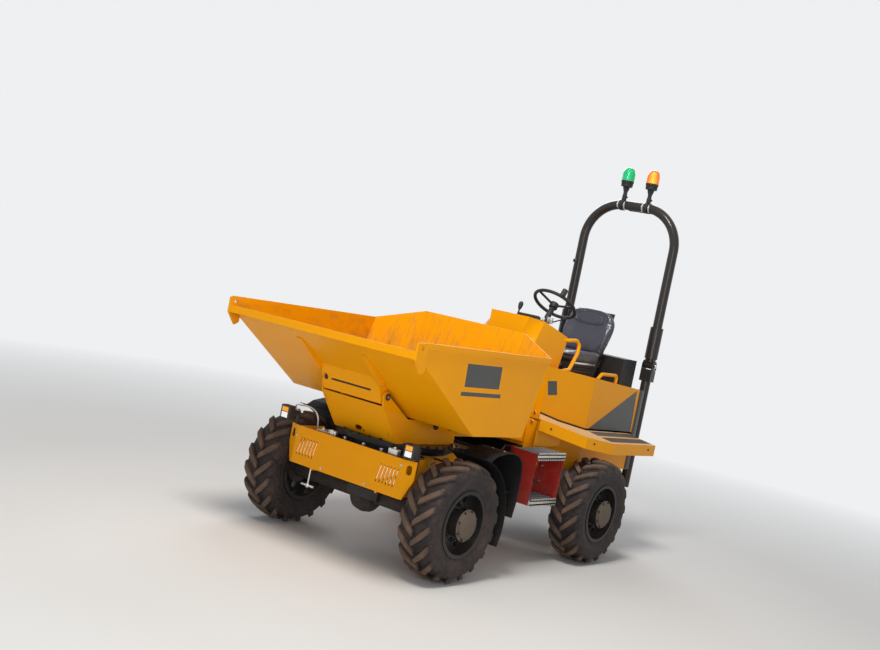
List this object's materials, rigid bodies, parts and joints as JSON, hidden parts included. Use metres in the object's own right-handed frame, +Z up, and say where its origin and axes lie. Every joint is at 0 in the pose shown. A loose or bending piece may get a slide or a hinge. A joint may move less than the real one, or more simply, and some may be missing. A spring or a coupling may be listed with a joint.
{
  "type": "site dumper",
  "caption": "Articulated four-wheel site dumper with a swivelling front-tip skip, an open driver's seat and a folding roll-over hoop.",
  "frame": {"origin": "on the ground, under the middle of the machine's length and width", "axes": "+X forward towards the skip's lip, +Y to the machine's left, +Z up"},
  "size_m": [3.58, 1.63, 3.036],
  "materials": {
    "yellow_paint": "satin",
    "black_paint": "satin",
    "grey_tube": "satin",
    "bare_steel": "satin",
    "zinc_tread": "rough",
    "red_paint": "satin",
    "tyre_rubber": "matte",
    "vinyl": "satin",
    "black_plastic": "matte",
    "green_lens": "gloss",
    "amber_lens": "gloss",
    "lamp_face": "gloss",
    "red_lens": "gloss",
    "cast_parts": "rough",
    "chrome_rod": "polished"
  },
  "bodies": {
    "rear_frame": {"rear_chassis": "black_paint", "rear_axle": "cast_parts", "engine_block": "cast_parts", "rear_body": "yellow_paint", "running_boards": "yellow_paint", "console": "yellow_paint", "step_frame": "red_paint", "step_treads": "zinc_tread", "grab_handles": "yellow_paint", "seat_base": "black_plastic", "seat_cushion": "vinyl", "seat_back": "vinyl", "rear_box": "black_plastic", "rops_posts": "grey_tube", "rear_lamps": "red_lens", "tow_hitch": "cast_parts", "steering_column": "black_plastic"},
    "pivot_link": {"pivot_link": "cast_parts"},
    "front_frame": {"front_chassis": "yellow_paint", "ring_base": "black_paint", "front_axle": "cast_parts", "headlamps": "lamp_face", "side_lamps": "black_plastic", "front_mudguards": "black_plastic", "slew_motor": "black_paint"},
    "swivel": {"slew_ring": "black_paint", "swivel_frame": "yellow_paint", "hinge_pins": "bare_steel"},
    "skip": {"skip": "yellow_paint", "skip_stiffeners": "yellow_paint"},
    "wheel_front_left": {"rim_front_left": "black_paint", "tyre_front_left": "tyre_rubber"},
    "wheel_front_right": {"rim_front_right": "black_paint", "tyre_front_right": "tyre_rubber"},
    "wheel_rear_left": {"rim_rear_left": "black_paint", "tyre_rear_left": "tyre_rubber"},
    "wheel_rear_right": {"rim_rear_right": "black_paint", "tyre_rear_right": "tyre_rubber"},
    "tip_barrel": {"tip_barrel": "black_paint"},
    "tip_rod": {"tip_rod": "chrome_rod"},
    "steer_barrel": {"steer_barrel": "black_paint"},
    "steer_rod": {"steer_rod": "chrome_rod"},
    "strut_barrel": {"strut_barrel": "black_paint"},
    "strut_rod": {"strut_rod": "chrome_rod"},
    "rops_hoop": {"rops_hoop": "grey_tube", "beacon_mounts": "black_plastic", "beacon_lens_green": "green_lens", "beacon_lens_amber": "amber_lens"},
    "steering_wheel": {"steering_wheel": "black_plastic"}
  },
  "joints": [
    {"name": "steer", "type": "hinge", "parent": "rear_frame", "child": "pivot_link", "pos_m": [0.15, 0, 0.54], "axis": [0, 0, 1], "range_deg": [-33, 33]},
    {"name": "oscillate", "type": "hinge", "parent": "pivot_link", "child": "front_frame", "pos_m": [0.45, 0, 0.54], "axis": [1, 0, 0], "range_deg": [-9, 9]},
    {"name": "swivel", "type": "hinge", "parent": "front_frame", "child": "swivel", "pos_m": [0.83, 0, 0.74], "axis": [0, 0, 1], "range_deg": [-90, 90]},
    {"name": "tip", "type": "hinge", "parent": "swivel", "child": "skip", "pos_m": [1.33, 0, 1.05], "axis": [0, 1, 0], "range_deg": [0, 65]},
    {"name": "roll_front_left", "type": "hinge", "parent": "front_frame", "child": "wheel_front_left", "pos_m": [1, 0.67, 0.38], "axis": [0, 1, 0], "continuous": true},
    {"name": "roll_front_right", "type": "hinge", "parent": "front_frame", "child": "wheel_front_right", "pos_m": [1, -0.67, 0.38], "axis": [0, 1, 0], "continuous": true},
    {"name": "roll_rear_left", "type": "hinge", "parent": "rear_frame", "child": "wheel_rear_left", "pos_m": [-0.74, 0.67, 0.38], "axis": [0, 1, 0], "continuous": true},
    {"name": "roll_rear_right", "type": "hinge", "parent": "rear_frame", "child": "wheel_rear_right", "pos_m": [-0.74, -0.67, 0.38], "axis": [0, 1, 0], "continuous": true},
    {"name": "tip_barrel_turn", "type": "hinge", "parent": "swivel", "child": "tip_barrel", "pos_m": [1.11, 0, 0.808], "axis": [0, 1, 0], "range_deg": [-1, 68]},
    {"name": "tip_rod_slide", "type": "slide", "parent": "tip_barrel", "child": "tip_rod", "axis": [-0.9864, 0, 0.1644], "range_m": [-0.002, 0.361]},
    {"name": "steer_barrel_turn", "type": "hinge", "parent": "rear_frame", "child": "steer_barrel", "pos_m": [-0.33, -0.172, 0.54], "axis": [0, 0, 1], "range_deg": [-3, 3]},
    {"name": "steer_rod_slide", "type": "slide", "parent": "steer_barrel", "child": "steer_rod", "axis": [0.999, 0.044, 0], "range_m": [-0.09, 0.09]},
    {"name": "fold_hoop", "type": "hinge", "parent": "rear_frame", "child": "rops_hoop", "pos_m": [-1.73, 0, 1.47], "axis": [0, 1, 0], "range_deg": [0, 75]},
    {"name": "strut_barrel_turn", "type": "hinge", "parent": "rear_frame", "child": "strut_barrel", "pos_m": [-1.652, -0.407, 1.33], "axis": [0, 1, 0], "range_deg": [-1, 72]},
    {"name": "strut_rod_slide", "type": "slide", "parent": "strut_barrel", "child": "strut_rod", "axis": [0, 0, 1], "range_m": [-0.183, 0.003]},
    {"name": "turn_steering_wheel", "type": "hinge", "parent": "rear_frame", "child": "steering_wheel", "pos_m": [-0.79, 0, 1.792], "axis": [-0.5299, 0, 0.848], "continuous": true}
  ],
  "couplings": [
    {"joint": "strut_barrel_turn", "follows": "fold_hoop", "ratio": 0.91414},
    {"joint": "strut_rod_slide", "follows": "fold_hoop", "m_per_rad": -0.1335},
    {"joint": "tip_barrel_turn", "follows": "tip", "ratio": 1.0019},
    {"joint": "tip_rod_slide", "follows": "tip", "m_per_rad": 0.30979},
    {"joint": "steer_barrel_turn", "follows": "steer", "ratio": 0.02},
    {"joint": "steer_rod_slide", "follows": "steer", "m_per_rad": 0.14298}
  ]
}
